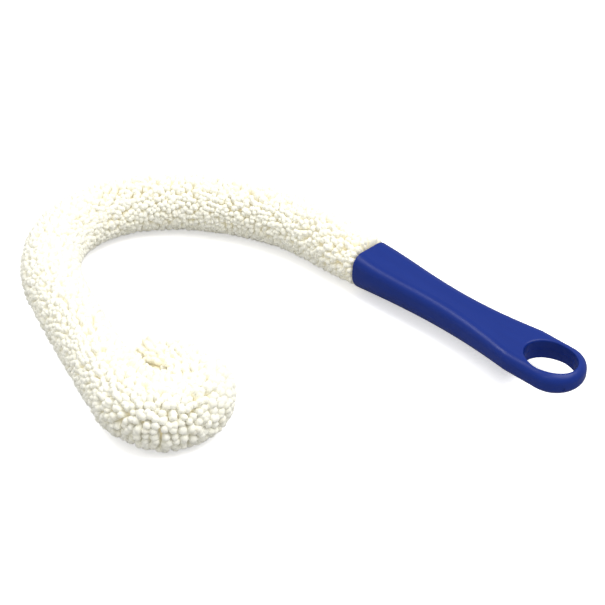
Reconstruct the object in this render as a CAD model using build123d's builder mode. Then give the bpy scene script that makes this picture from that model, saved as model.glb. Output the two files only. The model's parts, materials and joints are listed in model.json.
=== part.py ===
from build123d import *
from math import cos, radians, sin, sqrt, tan
import os

os.makedirs("parts", exist_ok=True)

# Wheel brush: a moulded handle with a hanging eye, and a foam head on a bendable twisted wire.
# Millimetres, +Z up. The origin is the centre of the hanging eye, half way through its thickness.
# The handle lies along X, its free end towards +X and its mouth towards -X. The head starts at
# the mouth and turns left all the way to its curled tip.

# ---------------------------------------------------------------- handle
MOUTH_X = -136.0            # plane of the rim that the foam goes into
RING_R = 17.3               # outside radius of the rounded free end
RING_CENTRE_X = 3.2         # centre of that round end
RING_THICKNESS = 12.8
EYE_LENGTH = 32.0           # the hanging eye is an oval, long way along X
EYE_WIDTH = 25.0
EYE_EDGE = 1.2              # rounding of the eye's two rims
PARTING_STEP = 0.15         # mould parting line inside the eye, how far it stands proud
PARTING_HEIGHT = 0.7
GATE_R = 1.2                # round gate mark on the side of the free end
GATE_DEPTH = 0.4
GATE_ANGLE = -35.0          # its direction from the round end's centre
GATE_Z = -1.5
RIM_EDGE = 0.8              # rounding of the mouth's outer rim
WALL = 2.3                  # wall around the mouth's recess
PLUG_GAP = 0.05             # keeps the foam's plug clear of the recess in the model
PLUG_NECK_R = 7.0           # joins the plug to the foam outside the rim
RECESS_DEPTH = 13.0
BORE_R = 2.9                # blind bore for the wire stem
BORE_DEPTH = 62.0           # measured from the floor of the recess

# One cross-section per station: X, half width low down, half width at the top face, depth below
# the axis, height above it, lower corner radius, upper corner radius, dish of the top face.
MOUTH_SECTION = (MOUTH_X, 15.6, 13.5, 15.3, 11.3, 13.5, 8.0, 0.5)
WAIST_SECTION = (-86.0, 12.9, 11.4, 11.1, 8.5, 9.5, 6.0, 0.6)
SHOULDER_SECTION = (-46.0, 14.0, 12.9, 8.6, 7.3, 6.8, 5.6, 0.5)
FLARE_SECTION = (-29.0, 16.2, 15.3, 7.2, 6.6, 5.9, 5.2, 0.2)
RING_SECTION = (-19.0, RING_R, RING_R, RING_THICKNESS / 2, RING_THICKNESS / 2, 5.2, 5.2, 0)

# ---------------------------------------------------------------- head
FOAM_R = 17.2               # tips of the foam noodles
GAP = 0.3                   # clearance between two foam sections, at every angle
LIP = 8.0                   # how far the outer lip of a section stops short of its hinge
CORE_R = 2.4                # passage for the wire through the foam
FOLD_ROOM = 3.0             # how far the passage runs on past the last hinge length
WIRE_R = 1.0                # each strand of the twisted pair
TWIST_R = 1.02              # strand centre to the wire's axis
TWIST_PITCH = 12.0
WIRE_END_GAP = 0.15         # strand end to the plane that halves the bend
NECK_LENGTH = 22.0          # mouth to the first hinge
MAIN_LENGTH = 39.0          # hinge to hinge along the arm
CURL_LENGTH = 20.0          # hinge to hinge in the curled tip
SLOT_REACH = 24.0           # runs a wire slot out past the round end of a section

# Bends to the left in degrees at hinges 1 to 14: as modelled, straightest, tightest.
BENDS = [
    (0, -25, 10),
    (21, 0, 26),
    (14, 0, 19),
    (22, 0, 27),
    (35, 0, 40),
    (38, 0, 43),
    (26, 0, 31),
    (4, -10, 9),
    (0, -10, 5),
    (7, 0, 7),
    (31, 0, 31),
    (56, 0, 56),
    (58, 0, 58),
    (57, 0, 57),
]
LENGTHS = [MAIN_LENGTH] * 9 + [CURL_LENGTH] * 5
LAST = len(LENGTHS) - 1
HEADINGS = [180.0 + sum(bend[0] for bend in BENDS[: k + 1]) for k in range(len(LENGTHS))]


def step(point, heading, length):
    """The point reached from another by going some way along a heading in degrees."""
    turn = radians(heading)
    return (point[0] + length * cos(turn), point[1] + length * sin(turn), 0.0)


HINGES = [(MOUTH_X - NECK_LENGTH, 0.0, 0.0)]
for heading, length in zip(HEADINGS, LENGTHS):
    HINGES.append(step(HINGES[-1], heading, length))


def flat_plane(point, heading):
    """Plan view at a point: local X along the heading, local Y to the left, Z up."""
    turn = radians(heading)
    return Plane(origin=point, x_dir=(cos(turn), sin(turn), 0), z_dir=(0, 0, 1))


def widest(hinge):
    """The largest bend either way at a hinge."""
    return max(abs(BENDS[hinge][1]), abs(BENDS[hinge][2]))


def save(piece, name):
    """Write a finished piece to the STEP file that carries its node's name."""
    piece.part.label = name
    export_step(piece.part, f"parts/{name}.step")


# ---------------------------------------------------------------- handle
def handle_section(station, inset=0.0):
    """Closed outline across the handle: round below, a dished face between soft ridges above."""
    x, low, top, depth, height, low_r, top_r, dish = station
    low, top, depth, height = low - inset, top - inset, depth - inset, height - inset
    low_r = low_r - inset
    top_r = max(top_r - inset, 1.0)
    with BuildSketch(Plane(origin=(x, 0, 0), x_dir=(0, 1, 0), z_dir=(1, 0, 0))) as outline:
        with BuildLine():
            Polyline((-top, height), (-low, -depth), (low, -depth), (top, height))
            if dish > 0:
                ThreePointArc((top, height), (0, height - dish), (-top, height))
            else:
                Line((top, height), (-top, height))
        make_face()
        fillet(outline.vertices().group_by(Axis.Y)[0], radius=low_r)
        fillet(outline.vertices().group_by(Axis.Y)[-1], radius=top_r)
    return outline.sketch


def handle_body():
    """One moulding: grip, round free end, hanging eye, recess for the foam and bore for the stem."""
    stations = [MOUTH_SECTION, WAIST_SECTION, SHOULDER_SECTION, FLARE_SECTION, RING_SECTION]
    outlines = [handle_section(station) for station in stations]
    recess = handle_section(MOUTH_SECTION, WALL)
    ring_axis = Axis((RING_CENTRE_X, 0, 0), (0, 0, 1))
    recess_floor = Plane.YZ.offset(MOUTH_X + RECESS_DEPTH)
    gate_point = step((RING_CENTRE_X, 0), GATE_ANGLE, RING_R)
    gate_out = (cos(radians(GATE_ANGLE)), sin(radians(GATE_ANGLE)), 0)
    gate_plane = Plane(origin=(gate_point[0], gate_point[1], GATE_Z), z_dir=gate_out)
    with BuildPart() as handle:
        loft(outlines)
        extrude(outlines[-1], amount=RING_CENTRE_X - RING_SECTION[0], dir=(1, 0, 0))
        with BuildSketch(Plane(origin=(RING_CENTRE_X, 0, 0), x_dir=(0, -1, 0), z_dir=(-1, 0, 0))):
            with BuildLine():
                half = RING_THICKNESS / 2
                Polyline((0, -half), (0, half), (RING_R, half), (RING_R, -half), (0, -half))
            corners = make_face().vertices().group_by(Axis.X)[-1]
            fillet(corners, radius=RING_SECTION[5])
        revolve(axis=ring_axis, revolution_arc=180)
        fillet(handle.faces().sort_by(Axis.X)[0].outer_wire().edges(), radius=RIM_EDGE)
        with BuildSketch(Plane.XY.offset(-RING_THICKNESS)):
            Ellipse(EYE_LENGTH / 2, EYE_WIDTH / 2)
        extrude(amount=2 * RING_THICKNESS, mode=Mode.SUBTRACT)
        near_eye = handle.edges().filter_by_position(Axis.X, -EYE_LENGTH / 2 - 0.1, EYE_LENGTH / 2 + 0.1)
        eye_rims = near_eye.filter_by_position(Axis.Y, -EYE_WIDTH / 2 - 0.1, EYE_WIDTH / 2 + 0.1)
        fillet(eye_rims, radius=EYE_EDGE)
        with BuildSketch(Plane.XY):
            Ellipse(EYE_LENGTH / 2 + WALL, EYE_WIDTH / 2 + WALL)
            Ellipse(EYE_LENGTH / 2 - PARTING_STEP, EYE_WIDTH / 2 - PARTING_STEP, mode=Mode.SUBTRACT)
        extrude(amount=PARTING_HEIGHT / 2, both=True)
        with BuildSketch(gate_plane):
            Circle(GATE_R)
        extrude(amount=-GATE_DEPTH, mode=Mode.SUBTRACT)
        extrude(recess, amount=RECESS_DEPTH, dir=(1, 0, 0), mode=Mode.SUBTRACT)
        with BuildSketch(recess_floor):
            Circle(BORE_R)
        extrude(amount=BORE_DEPTH, mode=Mode.SUBTRACT)
    return handle


def stem_adhesive():
    """Sleeve of set adhesive that holds the twisted stem in the handle's bore."""
    with BuildPart() as sleeve:
        with BuildSketch(Plane.YZ.offset(MOUTH_X + RECESS_DEPTH)):
            Circle(BORE_R)
            Circle(CORE_R, mode=Mode.SUBTRACT)
        extrude(amount=BORE_DEPTH)
    return sleeve


# ---------------------------------------------------------------- foam
def socket_back(radius):
    """How far back from the hinge the hollow end of a section is, at a radius from its axis."""
    return sqrt((FOAM_R + GAP) ** 2 - radius**2)


def wire_slot(plane, low, high):
    """Outline of the slot that the wire behind a hinge swings in, from the low bend to the high."""
    corners = []
    for bend, side in ((low, -1), (high, 1)):
        turn = radians(bend)
        near = (side * CORE_R * sin(turn), side * CORE_R * cos(turn))
        far = (near[0] - SLOT_REACH * cos(turn), near[1] + SLOT_REACH * sin(turn))
        corners.append((near, far))
    with BuildSketch(plane) as slot:
        Polygon(corners[0][0], corners[0][1], corners[1][1], corners[1][0], align=None)
    return slot.sketch


def facing_plane(point, heading, clearance):
    """Upright plane that faces along a heading, a clearance short of a point."""
    turn = radians(heading)
    return Plane(origin=step(point, heading, -clearance), z_dir=(cos(turn), sin(turn), 0))


def section_profile(length):
    """Half outline of a length of foam: round at its own hinge, hollow at the next one."""
    round_back = sqrt(FOAM_R**2 - CORE_R**2)
    lip_x = length - LIP
    hollow_x = length - socket_back(CORE_R)
    with BuildSketch() as profile:
        with BuildLine():
            RadiusArc((-round_back, CORE_R), (0, FOAM_R), FOAM_R)
            Polyline((0, FOAM_R), (lip_x, FOAM_R), (lip_x, socket_back(LIP)))
            RadiusArc((lip_x, socket_back(LIP)), (hollow_x, CORE_R), -FOAM_R - GAP)
            Line((hollow_x, CORE_R), (-round_back, CORE_R))
        make_face()
    return profile.sketch


def tip_profile(length):
    """Half outline of the last length of foam: round at both ends."""
    round_back = sqrt(FOAM_R**2 - CORE_R**2)
    with BuildSketch() as profile:
        with BuildLine():
            RadiusArc((-round_back, CORE_R), (0, FOAM_R), FOAM_R)
            Line((0, FOAM_R), (length, FOAM_R))
            RadiusArc((length, FOAM_R), (length + FOAM_R, 0), FOAM_R)
            Polyline((length + FOAM_R, 0), (length + FOLD_ROOM, 0), (length + FOLD_ROOM, CORE_R))
            Line((length + FOLD_ROOM, CORE_R), (-round_back, CORE_R))
        make_face()
    return profile.sketch


def foam_section(k):
    """One length of foam, trimmed on the inside of the bends and slotted for the wire."""
    plane = flat_plane(HINGES[k], HEADINGS[k])
    if k < LAST:
        profile = section_profile(LENGTHS[k])
        cuts = [facing_plane(HINGES[k + 1], HEADINGS[k] + BENDS[k + 1][2], GAP)]
    else:
        profile = tip_profile(LENGTHS[k])
        cuts = []
        for arm in (k - 5, k - 4, k - 3):
            flank = step(HINGES[arm], HEADINGS[arm] + 90, FOAM_R + GAP)
            cuts.append(facing_plane(flank, HEADINGS[arm] - 90, 0))
    slot = wire_slot(plane, BENDS[k][1], BENDS[k][2])
    with BuildPart() as foam:
        revolve(plane * profile, axis=Axis(plane.origin, plane.x_dir))
        extrude(slot, amount=CORE_R, both=True, mode=Mode.SUBTRACT)
        for cut in cuts:
            split(bisect_by=cut, keep=Keep.BOTTOM)
    return foam


def foam_root():
    """Foam at the mouth: a plug squeezed into the recess and the first short length outside."""
    hinge = HINGES[0][0]
    mouth = MOUTH_X - GAP
    lip_x = hinge + (FOAM_R + GAP) * tan(radians(widest(0))) + GAP
    lip_r = socket_back(lip_x - hinge)
    hollow_x = hinge + socket_back(CORE_R)
    with BuildSketch() as profile:
        with BuildLine():
            Polyline((hollow_x, CORE_R), (mouth, CORE_R), (mouth, FOAM_R), (lip_x, FOAM_R), (lip_x, lip_r))
            RadiusArc((lip_x, lip_r), (hollow_x, CORE_R), FOAM_R + GAP)
        make_face()
    plug = handle_section(MOUTH_SECTION, WALL + PLUG_GAP)
    with BuildPart() as foam:
        revolve(profile.sketch, axis=Axis.X)
        with BuildSketch(Plane.YZ.offset(mouth)):
            Circle(PLUG_NECK_R)
        extrude(amount=2 * GAP)
        extrude(plug, amount=RECESS_DEPTH - PLUG_GAP, dir=(1, 0, 0))
        with BuildSketch(Plane.YZ.offset(mouth)):
            Circle(CORE_R)
        extrude(amount=RECESS_DEPTH + 2 * GAP, mode=Mode.SUBTRACT)
    return foam


# ---------------------------------------------------------------- wire
def end_gap(bend):
    """How far a strand stops short of a hinge so that a bend never closes on it."""
    return (TWIST_R + WIRE_R) * tan(radians(bend) / 2) + WIRE_END_GAP


def across_plane(point, heading, phase):
    """Plane across the wire at a point, its normal along the heading, turned by a phase angle."""
    turn, twist = radians(heading), radians(phase)
    x_dir = (-sin(turn) * cos(twist), cos(turn) * cos(twist), sin(twist))
    return Plane(origin=point, x_dir=x_dir, z_dir=(cos(turn), sin(turn), 0))


def strand(point, heading, length, turned, side):
    """One wire of the twisted pair: side a or b, starting after some wire has already turned."""
    phase = 360 * turned / TWIST_PITCH + (180 if side == "b" else 0)
    with BuildPart() as wire:
        with BuildLine():
            path = Helix(pitch=TWIST_PITCH, height=length, radius=TWIST_R)
        with BuildSketch(Plane(origin=path @ 0, z_dir=path % 0)):
            Circle(WIRE_R)
        sweep(path=path, is_frenet=True)
    wire.part = across_plane(point, heading, phase).location * wire.part
    return wire


def wire_fold(point, heading, turned):
    """Where the wire is folded double at the tip, joining the two strands."""
    base = across_plane(point, heading, 360 * turned / TWIST_PITCH)
    with BuildPart() as fold:
        with BuildSketch(base):
            with Locations((TWIST_R, 0)):
                Circle(WIRE_R - 0.01)
        revolve(axis=Axis(base.origin, base.y_dir), revolution_arc=-180)
    return fold


# ---------------------------------------------------------------- write the pieces
save(handle_body(), "handle_body")
save(stem_adhesive(), "stem_adhesive")
save(foam_root(), "foam_root")

for k in range(LAST + 1):
    save(foam_section(k), f"foam_section_{k + 1:02d}")

stem_back = MOUTH_X + RECESS_DEPTH + BORE_DEPTH - WIRE_R
travelled = stem_back - HINGES[0][0]
for side in ("a", "b"):
    save(strand((stem_back, 0, 0), 180, travelled - end_gap(widest(0)), 0, side), f"stem_wire_{side}")
for k in range(LAST + 1):
    near = end_gap(widest(k))
    far = 0 if k == LAST else end_gap(widest(k + 1))
    start = step(HINGES[k], HEADINGS[k], near)
    for side in ("a", "b"):
        wire = strand(start, HEADINGS[k], LENGTHS[k] - near - far, travelled + near, side)
        save(wire, f"wire_{side}_{k + 1:02d}")
    travelled += LENGTHS[k]
fold_start = step(HINGES[-1], HEADINGS[LAST], WIRE_R / 2)
save(wire_fold(fold_start, HEADINGS[LAST], travelled), "wire_end_fold")
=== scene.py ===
import json
import math
import bpy
import numpy as np
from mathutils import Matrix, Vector


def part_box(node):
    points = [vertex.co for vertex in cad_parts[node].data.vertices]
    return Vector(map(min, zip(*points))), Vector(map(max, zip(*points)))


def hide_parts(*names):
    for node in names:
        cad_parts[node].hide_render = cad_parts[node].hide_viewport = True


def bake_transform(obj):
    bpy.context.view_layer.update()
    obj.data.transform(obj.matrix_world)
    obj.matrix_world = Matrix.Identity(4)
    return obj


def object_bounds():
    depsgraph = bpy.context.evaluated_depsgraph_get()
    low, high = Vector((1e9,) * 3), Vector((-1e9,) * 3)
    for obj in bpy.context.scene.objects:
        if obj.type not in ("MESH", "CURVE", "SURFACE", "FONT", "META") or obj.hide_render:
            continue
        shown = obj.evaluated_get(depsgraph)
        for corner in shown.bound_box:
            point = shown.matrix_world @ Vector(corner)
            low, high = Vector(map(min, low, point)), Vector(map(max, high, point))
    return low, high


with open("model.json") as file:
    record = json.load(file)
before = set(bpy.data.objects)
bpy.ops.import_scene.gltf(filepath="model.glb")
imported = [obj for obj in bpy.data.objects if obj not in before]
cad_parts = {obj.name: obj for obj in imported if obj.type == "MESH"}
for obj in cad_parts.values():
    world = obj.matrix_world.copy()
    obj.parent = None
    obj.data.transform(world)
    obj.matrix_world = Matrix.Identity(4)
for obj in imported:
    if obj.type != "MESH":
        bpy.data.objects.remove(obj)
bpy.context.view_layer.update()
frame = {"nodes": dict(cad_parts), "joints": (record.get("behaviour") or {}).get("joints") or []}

# Wheel brush: a moulded handle and a foam head of soft noodles on a bendable wire.
# Metres, in the frame of the CAD model. The head follows one smooth line through its hinges,
# and each stretch of noodles is made as pieces of its own.

MM = 0.001
rng = np.random.default_rng(23)

# ---------------------------------------------------------------- foam sizes
TIP_RADIUS = 17.5 * MM          # how far the noodle tips stand from the wire
MOUTH_RADIUS = 15.6 * MM        # the same at the handle's mouth, where the foam is squeezed
MOUTH_TAPER = 40 * MM           # length over which it widens again
ROOT_RADIUS = 1.6 * MM          # where the noodles leave the wire
ROOT_CAP = 0.8                  # middle of a noodle's inner end, in root radii
NOODLE_WIDTH = 1.9 * MM         # half width at the tip
WIDTH_SPREAD = (0.86, 1.1)
CAP_SPREAD = (0.9, 1.6)         # length of the rounded tip, in half widths
SIDES = 7                       # of a noodle
ROUGH_SIDES = (0.93, 1.07)      # its corners stand in and out by turns

ROW_SPACING = 2.55 * MM         # along the wire
FIRST_ROW = 2.1 * MM            # its distance from the mouth
ROW_TWIST = 0.11                # radians from one row to the next
NOODLES_IN_ROW = 34
SHORT_IN_ROW = 26               # places for shorter noodles between them
SHORT_REACH = 0.86
SHORT_SPREAD = (0.94, 1.04)
LENGTH_SPREAD = 0.055           # how much shorter the shortest noodles are
PLACE_SPREAD = 0.16             # round the wire, in places
ROOT_SPREAD = 0.5 * MM          # along the wire
LEAN = 0.9 * MM                 # typical lean of a noodle's tip along the head
SIDE_LEAN = 0.8 * MM            # and across it
LEAN_REACH = 7 * MM             # noodles closer to the mouth lean less, so that none lies over its rim

# On the inside of a bend noodles are fewer and bulge; on its outside they reach and widen.
LONG_CHANCE, LONG_THINNING = 1.3, 0.5
SHORT_CHANCE, SHORT_THINNING = 0.5, 0.6
FANNING, MOST_FANNING = 0.2, 0.14
WIDENING = 0.42
BULGE, BULGE_FROM = 0.22, 0.6

TIP_RINGS = 6                   # rings of noodles that round off the tip
FIRST_RING = math.radians(8)
RING_STEP = math.radians(14.5)
TIP_WIDENING = 1.1

TURN_APART = 45 * MM            # wire this much further along counts as another turn
MEETING = 1.75                  # turns closer than this, in tip radii, have their noodles meet
LET_OUT = 1.32                  # how far those noodles may reach, in tip radii
LET_OUT_SPREAD = (0.84, 1)
FITTING_ROUNDS = 12             # steps in which a noodle's length is fitted
SHRINK, GROW, CLEARANCE = 0.94, 1.03, 1.04
CROWDED = 1.15                  # noodles longer than this, in tip radii, have their tips among others

REST_HEIGHT = 17.25 * MM        # the wire above the surface that the foam lies on
STEEPEST = 0.1                  # least slope at which that surface limits a noodle's length
SQUASHED = 0.15                 # what is left of the height that reaches below the resting surface
FLOOR_GAP = 0.1 * MM

SAMPLES = 60                    # points worked out along each stretch of the head's line
SAMPLE_STEP = 6                 # every so many of them are tested for other turns
TIGHT_RADIUS = 45 * MM          # a stretch that curves more tightly than this is split into slices
SLICE = 2 * ROW_SPACING         # length of foam in a slice
ROUNDING = 0.01                 # keeps a row on a slice's edge in that slice
SLICE_BLEND = 30 * MM           # length over which a slice's place between its two bodies is read

# ---------------------------------------------------------------- the head's line
hinges = [Vector(joint["pos_m"]) for joint in frame["joints"]]
handle_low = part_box("handle_body")[0]
fold_low, fold_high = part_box("wire_end_fold")
mouth = Vector((handle_low.x, 0, 0))
tip = (fold_low + fold_high) / 2
ends = [mouth] + [(a + b) / 2 for a, b in zip(hinges, hinges[1:])] + [tip]


def head_line():
    """Points, headings, curvatures and stretch numbers along the line, evenly enough to read from."""
    points, headings, bends, stretches = [], [], [], []
    for k, hinge in enumerate(hinges):
        a, h, b = (np.array(v) for v in (ends[k], hinge, ends[k + 1]))
        for u in (np.arange(SAMPLES) + 0.5) / SAMPLES:
            first = 2 * (1 - u) * (h - a) + 2 * u * (b - h)
            second = 2 * (a - 2 * h + b)
            speed = np.linalg.norm(first)
            points.append((1 - u) ** 2 * a + 2 * u * (1 - u) * h + u**2 * b)
            headings.append(first / speed)
            bends.append((first[0] * second[1] - first[1] * second[0]) / speed**3)
            stretches.append(k)
    return np.array(points), np.array(headings), np.array(bends), np.array(stretches)


line, heading, bend, stretch = head_line()
steps = np.linalg.norm(np.diff(line, axis=0), axis=1)
travel = np.concatenate([[0], np.cumsum(steps)])


# ---------------------------------------------------------------- noodles
def foam_radius(s):
    """Distance from the wire to the noodle tips, some way along the head."""
    t = np.clip(s / MOUTH_TAPER, 0, 1)
    return MOUTH_RADIUS + (TIP_RADIUS - MOUTH_RADIUS) * t * (2 - t)


def fit_turns(root, out, length, s):
    """Lengths cut back where a noodle would reach into another turn, or let out to meet it."""
    length = length.copy()
    furthest = LET_OUT * TIP_RADIUS * rng.uniform(*LET_OUT_SPREAD, len(length))
    furthest = np.minimum(furthest, REST_HEIGHT / np.maximum(STEEPEST, np.abs(out[:, 2])))
    wire_points = line[None, ::SAMPLE_STEP]
    another_turn = np.abs(travel[None, ::SAMPLE_STEP] - s[:, None]) > TURN_APART
    for _ in range(FITTING_ROUNDS):
        ends_at = root + out * length[:, None]
        gap = np.linalg.norm(ends_at[:, None] - wire_points, axis=2)
        other = np.where(another_turn, gap, 1).min(axis=1)
        loose = (other > CLEARANCE * length) & (other < MEETING * TIP_RADIUS) & (length < furthest)
        longer = np.where(loose, length * GROW, length)
        length = np.where(other < length, length * SHRINK, longer)
    return length


def outward(inward, angle):
    """Direction away from the wire at an angle from the inside of the bend."""
    return inward * math.cos(angle) + np.array([0, 0, math.sin(angle)])


def side_row(row):
    """The noodles of one row round the wire, as rows() lists them."""
    s = FIRST_ROW + row * ROW_SPACING
    at = min(np.searchsorted(travel, s), len(line) - 1)
    inward = np.array([-heading[at][1], heading[at][0], 0])
    free = min(1, s / LEAN_REACH)
    noodles = []
    for j in range(NOODLES_IN_ROW + SHORT_IN_ROW):
        short = j >= NOODLES_IN_ROW
        if short:
            slot = rng.uniform(0, NOODLES_IN_ROW)
        else:
            slot = j + 0.5 * (row % 2) + rng.normal(0, PLACE_SPREAD)
        angle = 2 * math.pi * slot / NOODLES_IN_ROW + ROW_TWIST * row
        squeeze = TIP_RADIUS * bend[at] * math.cos(angle)
        stretched = max(0, -squeeze)
        if short:
            wanted = SHORT_CHANCE - SHORT_THINNING * squeeze
        else:
            wanted = LONG_CHANCE * (1 - LONG_THINNING * squeeze)
        if rng.random() > wanted:
            continue
        direction = outward(inward, angle)
        swell = BULGE * max(0, 2 * squeeze - BULGE_FROM) * math.sin(2 * angle) ** 2
        fan = min(FANNING * stretched, MOST_FANNING)
        reach = foam_radius(s) * (1 + swell + fan - LENGTH_SPREAD * rng.random() ** 2)
        if short:
            reach *= SHORT_REACH * rng.uniform(*SHORT_SPREAD)
        reach = min(reach, REST_HEIGHT / max(STEEPEST, -direction[2]))
        start = line[at] + heading[at] * rng.normal(0, ROOT_SPREAD) * free
        wide = 1 + WIDENING * stretched
        noodles.append((start, direction, heading[at], reach, wide, free, s, stretch[at]))
    return noodles


def tip_ring(ring):
    """The noodles of one ring over the end of the wire, as rows() lists them."""
    inward = np.array([-heading[-1][1], heading[-1][0], 0])
    tilt = FIRST_RING + RING_STEP * ring
    around = max(1, round(NOODLES_IN_ROW * math.cos(tilt)))
    noodles = []
    for j in range(around):
        slot = j + 0.5 * (ring % 2) + rng.normal(0, PLACE_SPREAD)
        across = outward(inward, 2 * math.pi * slot / around)
        direction = across * math.cos(tilt) + heading[-1] * math.sin(tilt)
        along = heading[-1] * math.cos(tilt) - across * math.sin(tilt)
        reach = TIP_RADIUS * (1 - LENGTH_SPREAD * rng.random() ** 2)
        noodles.append((line[-1], direction, along, reach, TIP_WIDENING, 1, travel[-1], stretch[-1]))
    return noodles


def rows():
    """Every noodle's root, outward direction, heading, length, width factor, freedom to lean,
    place along the line and stretch."""
    noodles = []
    for row in range(int(travel[-1] / ROW_SPACING)):
        noodles += side_row(row)
    for ring in range(TIP_RINGS):
        noodles += tip_ring(ring)
    return [np.array(values) for values in zip(*noodles)]


def noodle_faces(rings):
    """Faces of one noodle: rings of corners from root to tip, then the tip's and the root's middle."""
    faces = []
    for ring in range(rings - 1):
        for i in range(SIDES):
            a, b = ring * SIDES + i, ring * SIDES + (i + 1) % SIDES
            faces.append((a, b, b + SIDES, a + SIDES))
    last = (rings - 1) * SIDES
    tip_middle, root_middle = rings * SIDES, rings * SIDES + 1
    for i in range(SIDES):
        faces.append((last + i, last + (i + 1) % SIDES, tip_middle))
        faces.append(((i + 1) % SIDES, i, root_middle))
    return faces


def noodle_mesh(name, root, out, ahead, length, spread, free):
    """One mesh of many noodles: bent, wider towards the tip, with a rounded end."""
    n = len(root)
    side = np.cross(out, ahead)
    lean = ahead * rng.normal(0, LEAN, (n, 1)) * free[:, None] + side * rng.normal(0, SIDE_LEAN, (n, 1))
    width = NOODLE_WIDTH * spread * rng.uniform(*WIDTH_SPREAD, n)
    roll = rng.uniform(0, 2 * math.pi, n)
    tone = rng.random(n)
    cap = width * rng.uniform(*CAP_SPREAD, n)
    # Where each ring of corners is along the noodle, and its size next to the half width.
    stations = [
        (np.full(n, ROOT_RADIUS), 0.40),
        (0.55 * length, 0.80),
        (length - cap, 1.00),
        (length - 0.45 * cap, 0.88),
        (length - 0.12 * cap, 0.52),
    ]
    # Tips among other noodles count as deeper, so they take some of the painted shade and glow.
    surface = np.where(length > CROWDED * TIP_RADIUS, CROWDED * length, TIP_RADIUS)
    points, depths = [], []
    for reach, scale in stations:
        centre = root + out * reach[:, None] + lean * ((reach / length) ** 2)[:, None]
        for i in range(SIDES):
            turn = roll + 2 * math.pi * i / SIDES
            wide = width * scale * ROUGH_SIDES[i % 2]
            offset = ahead * np.cos(turn)[:, None] + side * np.sin(turn)[:, None]
            points.append(centre + offset * wide[:, None])
            depths.append(reach / surface)
    for reach in (length, np.full(n, ROOT_RADIUS * ROOT_CAP)):
        points.append(root + out * reach[:, None] + lean * ((reach / length) ** 2)[:, None])
        depths.append(reach / surface)
    points, depths = np.stack(points, 1), np.stack(depths, 1)
    below = np.minimum(points[..., 2] + REST_HEIGHT, 0)
    points[..., 2] -= below * (1 - SQUASHED)
    per = points.shape[1]
    one = noodle_faces(len(stations))
    faces = [tuple(v + per * m for v in face) for m in range(n) for face in one]
    mesh = bpy.data.meshes.new(name)
    mesh.from_pydata(points.reshape(-1, 3), [], faces)
    mesh.shade_smooth()
    # Depth along the noodle, which the foam material turns into painted shade and glow deep between the
    # noodles.
    depth = mesh.attributes.new("depth", "FLOAT", "POINT")
    depth.data.foreach_set("value", depths.reshape(-1).astype(np.float32))
    shade = mesh.attributes.new("tone", "FLOAT", "POINT")
    shade.data.foreach_set("value", np.repeat(tone, per).astype(np.float32))
    piece = bpy.data.objects.new(name, mesh)
    bpy.context.scene.collection.objects.link(piece)
    return piece


# ---------------------------------------------------------------- materials
class Nodes:
    """Builds one node material: add() makes a node, and join() links or sets an input."""

    def __init__(self, name):
        self.material = bpy.data.materials.new(name)
        self.material.use_nodes = True
        self.tree = self.material.node_tree
        self.shader = self.tree.nodes["Principled BSDF"]
        self.place = self.add("ShaderNodeTexCoord").outputs["Object"]

    def add(self, kind, inputs=None, **settings):
        """A node with its settings made and its inputs joined."""
        made = self.tree.nodes.new(kind)
        for key, value in settings.items():
            setattr(made, key, value)
        for key, value in (inputs or {}).items():
            self.join(made, key, value)
        return made

    def join(self, made, key, value):
        """Link a socket to an input, or set the input's own value."""
        if isinstance(value, bpy.types.NodeSocket):
            self.tree.links.new(value, made.inputs[key])
        else:
            made.inputs[key].default_value = value

    def noise(self, scale, detail=3, roughness=0.5, place=None):
        """Noise from about 0.3 to 0.7, so many waves to the metre."""
        inputs = {"Vector": place or self.place, "Scale": scale, "Detail": detail, "Roughness": roughness}
        return self.add("ShaderNodeTexNoise", inputs).outputs["Fac"]

    def ramp(self, value, low, high, to_low=0.0, to_high=1.0):
        """A value brought from one range to another, and held within it."""
        inputs = {"Value": value, "From Min": low, "From Max": high, "To Min": to_low, "To Max": to_high}
        return self.add("ShaderNodeMapRange", inputs, clamp=True).outputs["Result"]

    def mix(self, factor, first, second):
        """A colour between two others."""
        inputs = {"Factor": factor, 6: first, 7: second}
        return self.add("ShaderNodeMix", inputs, data_type="RGBA").outputs[2]

    def bump(self, height, strength, distance, below=None):
        """Fine relief, a distance in metres high, on top of any relief below it."""
        inputs = {"Height": height, "Strength": strength, "Distance": distance}
        if below is not None:
            inputs["Normal"] = below
        return self.add("ShaderNodeBump", inputs).outputs["Normal"]

    def finish(self, **inputs):
        """Join the shader's inputs, named with _ for spaces, and return the material."""
        for key, value in inputs.items():
            self.join(self.shader, key.replace("_", " "), value)
        return self.material


def rgb(red, green, blue):
    return (red, green, blue, 1.0)


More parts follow.
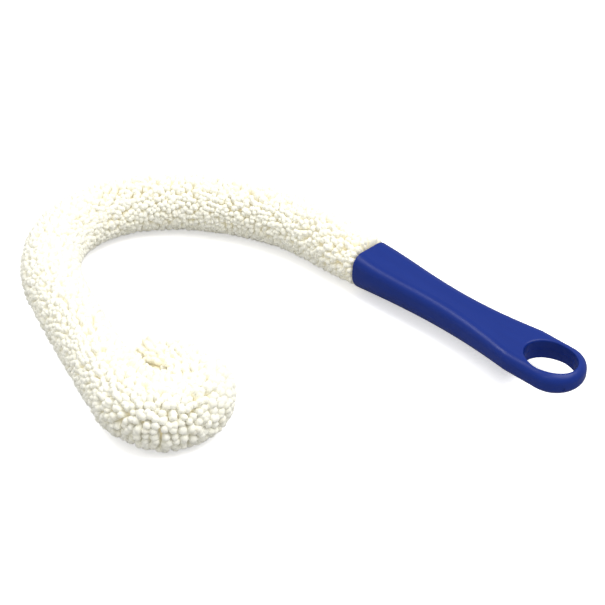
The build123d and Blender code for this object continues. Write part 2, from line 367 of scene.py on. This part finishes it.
def foam_material():
    """Soft open-cell foam: near white at the tips, with painted shade, warmer and darker, deep between
    the noodles, and a painted glow there for light passing through the foam.
    """
    m = Nodes("soft_foam")
    depth = m.add("ShaderNodeAttribute", attribute_name="depth").outputs["Fac"]
    tone = m.add("ShaderNodeAttribute", attribute_name="tone").outputs["Fac"]
    patches = m.ramp(m.noise(160, 2), 0.35, 0.7)
    tips = m.mix(patches, rgb(0.97, 0.955, 0.855), rgb(0.955, 0.935, 0.80))
    tips = m.mix(m.ramp(tone, 0.88, 1.0, 0, 0.35), tips, rgb(0.93, 0.87, 0.70))
    # Painted shade: warmer and darker deep between the noodles, where they shade each other.
    colour = m.mix(m.ramp(depth, 0.6, 0.93), rgb(0.975, 0.915, 0.70), tips)
    cells = m.add("ShaderNodeTexVoronoi", {"Vector": m.place, "Scale": 2600}).outputs["Distance"]
    pores = m.bump(cells, 0.35, 0.00025)
    lumps = m.bump(m.noise(900, 2), 0.25, 0.0004, pores)
    scattered = m.ramp(depth, 0.6, 0.97, 0.14, 0.0)     # stands in for light passing through the foam
    return m.finish(
        Base_Color=colour,
        Roughness=m.ramp(m.noise(700), 0.3, 0.7, 0.82, 0.96),
        Normal=lumps,
        Sheen_Weight=0.4,
        Sheen_Roughness=0.6,
        Emission_Color=rgb(1.0, 0.93, 0.74),
        Emission_Strength=scattered,
        Specular_IOR_Level=0.25,
    )


def plastic_material():
    """Satin moulded polypropylene: fine spark texture, faint flow marks and handling scuffs."""
    m = Nodes("satin_plastic")
    stretched = m.add("ShaderNodeMapping", {"Vector": m.place, "Scale": (1, 6, 6)}).outputs["Vector"]
    flow = m.noise(18, 3, 0.6, stretched)
    colour = m.mix(m.ramp(flow, 0.3, 0.7), rgb(0.0010, 0.019, 0.186), rgb(0.0015, 0.022, 0.206))
    colour = m.mix(m.ramp(m.noise(240, 5, 0.7), 0.62, 0.78, 0, 0.12), colour, rgb(0.009, 0.032, 0.22))
    scratch = m.add("ShaderNodeMapping", {"Vector": m.place, "Scale": (25, 420, 420)}).outputs["Vector"]
    scuffs = m.ramp(m.noise(3, 4, 0.7, scratch), 0.6, 0.75)
    satin = m.ramp(m.noise(60, 4, 0.6), 0.3, 0.7, 0.32, 0.40)
    scuffed = m.ramp(scuffs, 0, 1, 0, 0.1)
    roughness = m.add("ShaderNodeMath", {0: satin, 1: scuffed}, operation="ADD").outputs[0]
    spark = m.bump(m.noise(2200, 2, 0.6), 0.12, 0.00012)
    sink = m.bump(m.noise(34, 1, 0.4), 0.10, 0.0015, spark)
    return m.finish(
        Base_Color=colour,
        Roughness=roughness,
        Normal=sink,
        Specular_IOR_Level=0.3,
        IOR=1.49,
    )


def wire_material():
    """Galvanised steel wire with fine drawing lines."""
    m = Nodes("galvanised_wire")
    spangle = m.ramp(m.noise(900, 3), 0.3, 0.7)
    colour = m.mix(spangle, rgb(0.55, 0.56, 0.57), rgb(0.68, 0.69, 0.70))
    return m.finish(
        Base_Color=colour,
        Metallic=1.0,
        Roughness=m.ramp(m.noise(1500), 0.3, 0.7, 0.28, 0.46),
        Normal=m.bump(m.noise(3200, 2), 0.15, 0.00005),
    )


def adhesive_material():
    """Cloudy amber adhesive with small bubbles."""
    m = Nodes("set_adhesive")
    cloudy = m.mix(m.ramp(m.noise(400), 0.3, 0.7), rgb(0.62, 0.47, 0.22), rgb(0.72, 0.60, 0.36))
    bubbles = m.add("ShaderNodeTexVoronoi", {"Vector": m.place, "Scale": 900}).outputs["Distance"]
    return m.finish(
        Base_Color=cloudy,
        Roughness=m.ramp(m.noise(500), 0.3, 0.7, 0.25, 0.4),
        Normal=m.bump(bubbles, 0.2, 0.0001),
    )


def floor_material():
    """Pale matt studio paper that glows evenly to the camera, so shadows on it fade; to light bouncing
    off it, it is mid grey, and darker grey in reflections, which puts painted shade on the brush's
    undersides and near side.
    """
    m = Nodes("studio_paper")
    paper = m.mix(m.ramp(m.noise(40, 3), 0.3, 0.7), rgb(0.94, 0.94, 0.94), rgb(0.955, 0.955, 0.955))
    rays = m.add("ShaderNodeLightPath").outputs
    seen = rays["Is Camera Ray"]
    # Painted shade: darker grey to bouncing and reflected light, so the brush's undersides and near side
    # stay dark.
    colour = m.mix(rays["Is Diffuse Ray"], paper, rgb(0.5, 0.5, 0.5))
    colour = m.mix(rays["Is Glossy Ray"], colour, rgb(0.3, 0.3, 0.3))
    return m.finish(
        Base_Color=colour,
        Roughness=0.95,
        Specular_IOR_Level=0.1,
        Emission_Color=rgb(1.0, 1.0, 1.0),
        Emission_Strength=m.ramp(seen, 0, 1, 0, 0.5),
    )


foam = foam_material()
plastic = plastic_material()
wire = wire_material()
adhesive = adhesive_material()

for name, node in frame["nodes"].items():
    if name == "handle_body":
        material = plastic
    elif name == "stem_adhesive":
        material = adhesive
    elif "wire" in name:
        material = wire
    else:
        material = foam
    node.data.materials.clear()
    node.data.materials.append(material)

# ---------------------------------------------------------------- the foam head
root, out, ahead, length, spread, free, place, owner = rows()
length = fit_turns(root, out, length, place)
turned = np.unwrap(np.arctan2(heading[:, 1], heading[:, 0]))


def slices(k):
    """One stretch in pieces: each one's name, noodles, and start and end of blend."""
    mine = owner == k
    at = np.flatnonzero(stretch == k)
    turn = turned[at[-1]] - turned[at[0]]
    if turn * TIGHT_RADIUS < travel[at[-1]] - travel[at[0]]:
        return [(f"noodles_{k + 1:02d}", mine, ends[k], ends[k + 1])]
    found = []
    number = ((place - place[mine].min()) / SLICE + ROUNDING).astype(int)
    for n in range(number[mine].max() + 1):
        some = mine & (number == n)
        middle = np.searchsorted(travel, place[some].mean())
        share = np.clip((turned[middle] - turned[at[0]]) / turn, 0, 1)
        # The blend turns by t * t * (3 - 2 * t); this is the t at which it has turned by the share.
        reached = 0.5 - math.sin(math.asin(1 - 2 * share) / 3)
        start = line[middle] - heading[middle] * SLICE_BLEND * reached
        end = start + heading[middle] * SLICE_BLEND
        found.append((f"noodles_{k + 1:02d}_{n + 1}", some, start, end))
    return found


for k in range(len(hinges)):
    for name, some, start, end in slices(k):
        chosen = (values[some] for values in (root, out, ahead, length, spread, free))
        piece = noodle_mesh(name, *chosen)
        piece.data.materials.append(foam)
        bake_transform(piece)
        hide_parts(f"foam_section_{k + 1:02d}")
        if k == 0:
            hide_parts("foam_root")

# ---------------------------------------------------------------- floor, light and camera
FLOOR_HALF = 6.0
floor_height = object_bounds()[0].z - FLOOR_GAP
floor_mesh = bpy.data.meshes.new("studio_floor")
quarters = ((-1, -1), (1, -1), (1, 1), (-1, 1))
corners = [(x * FLOOR_HALF, y * FLOOR_HALF, floor_height) for x, y in quarters]
floor_mesh.from_pydata(corners, [], [(0, 1, 2, 3)])
floor = bpy.data.objects.new("studio_floor", floor_mesh)
floor.data.materials.append(floor_material())
bpy.context.scene.collection.objects.link(floor)


def aim(thing, place, target):
    """Put a light or camera in place, pointing at a target."""
    thing.location = place
    thing.rotation_mode = "QUATERNION"
    thing.rotation_quaternion = (Vector(target) - Vector(place)).to_track_quat("-Z", "Y")


def area_light(name, place, target, size, power):
    """A round softbox: its diameter in metres and its power in watts."""
    light = bpy.data.lights.new(name, "AREA")
    light.shape = "DISK"
    light.size = size
    light.energy = power
    lamp = bpy.data.objects.new(name, light)
    bpy.context.scene.collection.objects.link(lamp)
    aim(lamp, place, target)


centre = Vector((-0.135, -0.055, 0.0))      # near the middle of the bent brush
area_light("overhead_softbox", (0.45, 0.30, 1.4), centre, 1.4, 20)
area_light("left_softbox", (-1.1, -0.35, 1.25), centre, 0.6, 6.5)
area_light("front_softbox", (0.15, -1.0, 1.35), centre, 0.5, 2.6)

WORLD_STRENGTH = 0.53
world = bpy.data.worlds.new("studio")
world.use_nodes = True
background = world.node_tree.nodes["Background"]
background.inputs["Color"].default_value = rgb(1.0, 1.0, 1.0)
background.inputs["Strength"].default_value = WORLD_STRENGTH
bpy.context.scene.world = world
bpy.context.scene.view_settings.view_transform = "Standard"

CAMERA_AZIMUTH = math.radians(45.5)
CAMERA_HEIGHT = math.radians(36.0)
CAMERA_DISTANCE = 1.128
SENSOR_WIDTH = 36.0             # millimetres, as is the lens
LENS = 119.0
camera_data = bpy.data.cameras.new("camera")
camera_data.sensor_width = SENSOR_WIDTH
camera_data.lens = LENS
camera = bpy.data.objects.new("camera", camera_data)
bpy.context.scene.collection.objects.link(camera)
back = Vector((
    math.sin(CAMERA_AZIMUTH) * math.cos(CAMERA_HEIGHT),
    -math.cos(CAMERA_AZIMUTH) * math.cos(CAMERA_HEIGHT),
    math.sin(CAMERA_HEIGHT),
))
aim(camera, centre + back * CAMERA_DISTANCE, centre)
bpy.context.scene.camera = camera
